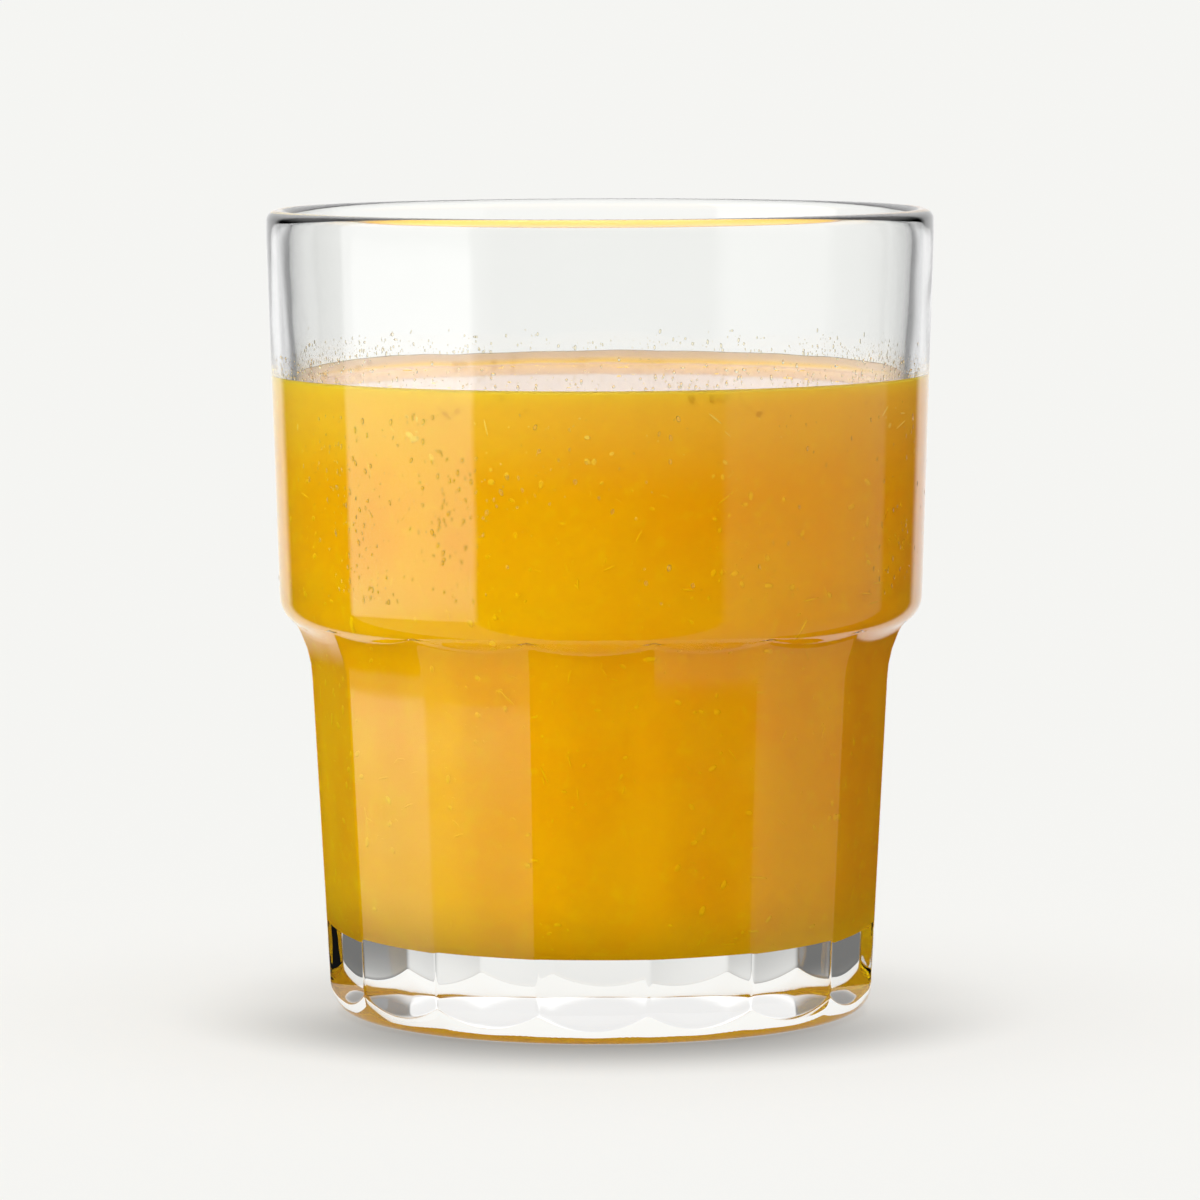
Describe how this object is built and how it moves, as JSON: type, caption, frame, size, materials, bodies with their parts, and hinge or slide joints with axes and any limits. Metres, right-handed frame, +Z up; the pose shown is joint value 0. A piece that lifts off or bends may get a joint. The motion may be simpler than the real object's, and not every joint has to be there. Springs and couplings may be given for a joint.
{
  "type": "glass of orange juice",
  "caption": "Clear stackable tumbler with a flared round upper half, a shoulder, a flatted lower half and a thick base, filled with orange juice.",
  "frame": {"origin": "centre of the flat ring that the tumbler stands on", "axes": "+Z up along the axis of the tumbler; +X through the middle of one of the flats"},
  "size_m": [0.086, 0.086, 0.1038],
  "materials": {
    "clear_glass": "polished clear pressed glass",
    "orange_juice": null
  },
  "bodies": {
    "root": {"tumbler": "clear_glass", "juice": "orange_juice"}
  },
  "joints": []
}
